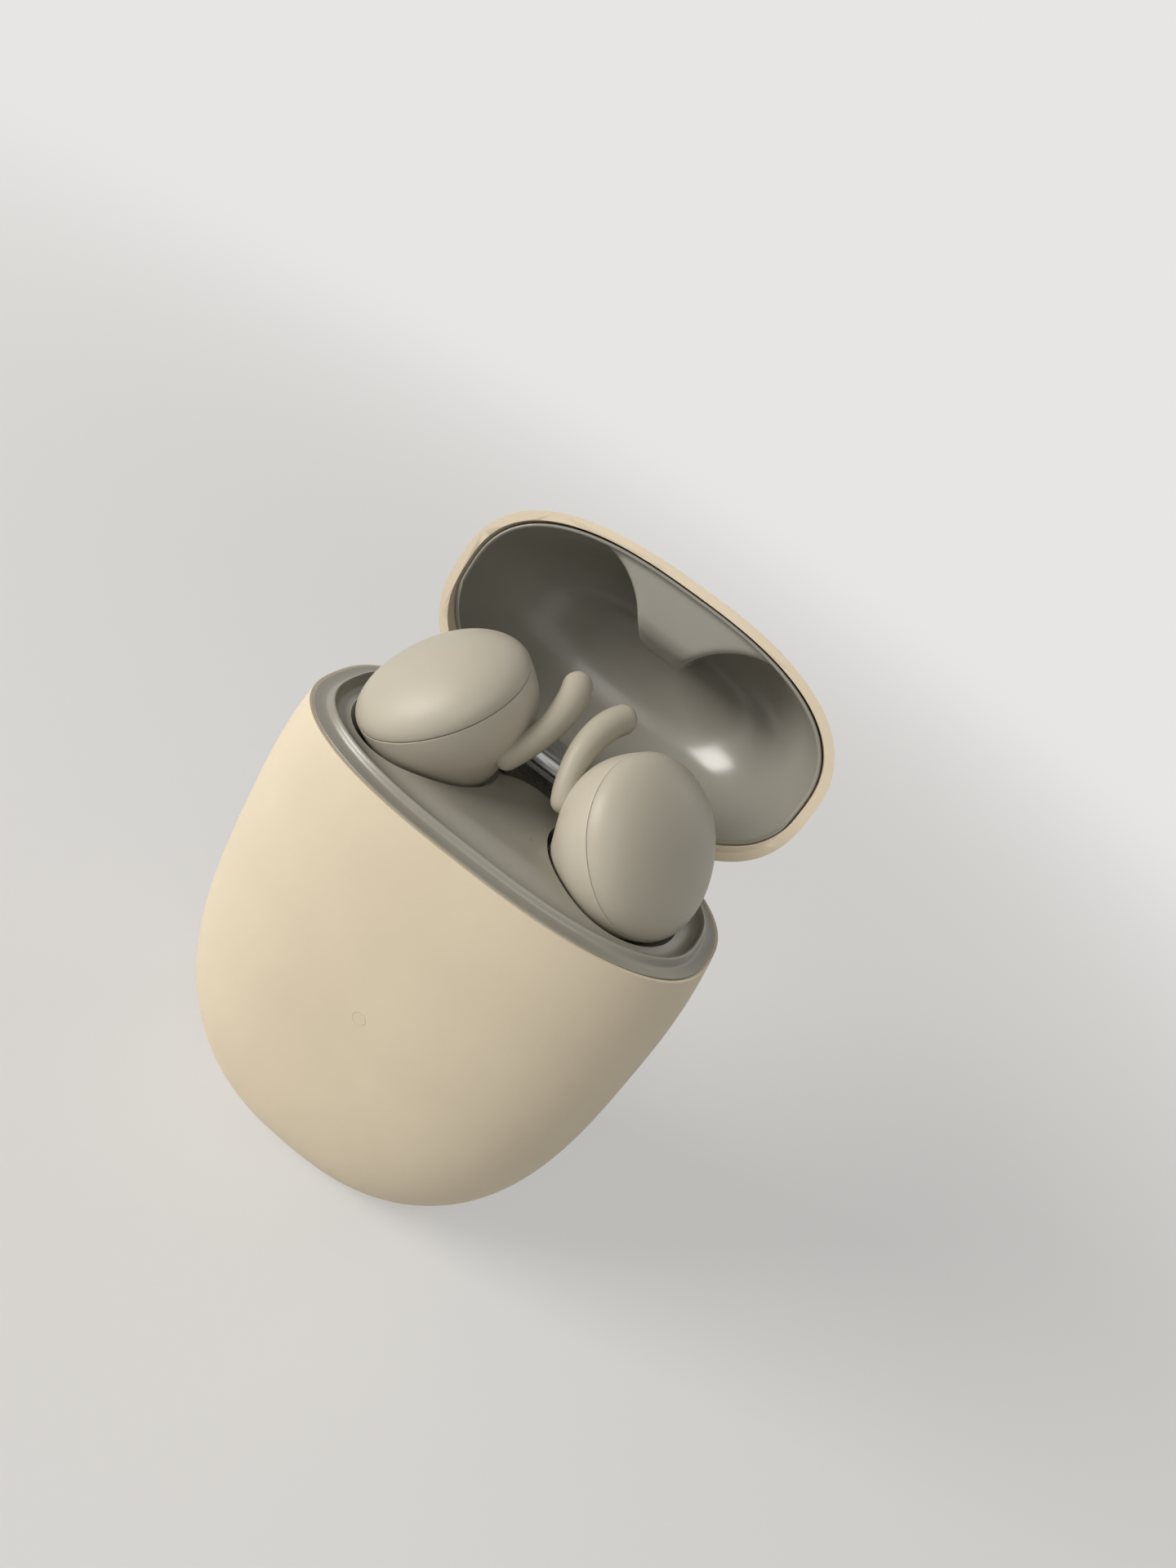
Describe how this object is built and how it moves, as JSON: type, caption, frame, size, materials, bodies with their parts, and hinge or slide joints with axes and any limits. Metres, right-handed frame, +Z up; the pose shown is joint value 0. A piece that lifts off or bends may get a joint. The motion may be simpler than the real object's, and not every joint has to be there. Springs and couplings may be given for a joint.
{
  "type": "wireless earbuds case",
  "caption": "Pebble-shaped charging case with a hinged lid, holding wireless earbuds in moulded wells.",
  "frame": {"origin": "centre of the flat foot, in the mouth of the charging port", "axes": "+Z up along the case, +Y to the hinge at the back, +X to the right seen from the front"},
  "size_m": [0.047, 0.0447, 0.0684],
  "materials": {
    "shell": "fine matte cream moulding",
    "tray": "smooth glossy grey moulding",
    "liner": "smooth glossy grey moulding",
    "bud_cap": "soft matte pale moulding",
    "bud_housing": "satin grey moulding",
    "bud_rubber": "soft matte silicone",
    "steel": "brushed steel",
    "contact": "gold plated",
    "magnet": "nickel plated",
    "battery": "foil pouch",
    "foam": "black foam",
    "circuit": "green solder mask",
    "chip": "black moulding",
    "ribbon": "amber film",
    "lamp": "white lamp"
  },
  "bodies": {
    "case": {"body_shell": "shell", "bud_tray": "tray", "case_battery": "battery", "battery_foam": "foam", "main_board": "circuit", "board_chips": "chip", "hall_sensor": "chip", "board_screws": "steel", "usb_board": "circuit", "usb_shell": "steel", "usb_tongue": "chip", "flex_cable": "ribbon", "button_switch": "chip", "status_lens": "shell", "status_led": "lamp", "bud_magnets": "magnet", "tray_magnet": "magnet", "left_pin_block": "chip", "right_pin_block": "chip", "hinge_bracket": "steel", "hinge_pin": "steel"},
    "lid": {"lid_shell": "shell", "lid_liner": "liner", "lid_magnet": "magnet", "hinge_leaf": "steel"},
    "button": {"pairing_button": "shell"},
    "left_pins": {"left_charge_pins": "contact"},
    "right_pins": {"right_charge_pins": "contact"},
    "left_bud": {"left_bud_cap": "bud_cap", "left_bud_body": "bud_housing", "left_bud_arc": "bud_rubber", "left_bud_nozzle": "bud_housing", "left_bud_mesh": "steel", "left_bud_tip": "bud_rubber", "left_bud_driver": "chip", "left_bud_cell": "battery", "left_bud_board": "circuit", "left_bud_contacts": "contact", "left_bud_magnet": "magnet"},
    "right_bud": {"right_bud_cap": "bud_cap", "right_bud_body": "bud_housing", "right_bud_arc": "bud_rubber", "right_bud_nozzle": "bud_housing", "right_bud_mesh": "steel", "right_bud_tip": "bud_rubber", "right_bud_driver": "chip", "right_bud_cell": "battery", "right_bud_board": "circuit", "right_bud_contacts": "contact", "right_bud_magnet": "magnet"}
  },
  "joints": [
    {"name": "lid_hinge", "type": "hinge", "parent": "case", "child": "lid", "pos_m": [0, 0.0117, 0.0452], "axis": [1, 0, 0], "range_deg": [0, 102]},
    {"name": "left_bud_lift", "type": "slide", "parent": "case", "child": "left_bud", "axis": [0, 0, -1], "range_m": [-0.026, 0]},
    {"name": "right_bud_lift", "type": "slide", "parent": "case", "child": "right_bud", "axis": [0, 0, -1], "range_m": [-0.026, 0]},
    {"name": "pairing_press", "type": "slide", "parent": "case", "child": "button", "axis": [0, -1, 0], "range_m": [0, 0.0003], "stiffness_N_per_m": 1000},
    {"name": "left_pin_press", "type": "slide", "parent": "case", "child": "left_pins", "axis": [0, 0, -1], "range_m": [0, 0.0005], "stiffness_N_per_m": 400},
    {"name": "right_pin_press", "type": "slide", "parent": "case", "child": "right_pins", "axis": [0, 0, -1], "range_m": [0, 0.0005], "stiffness_N_per_m": 400}
  ]
}
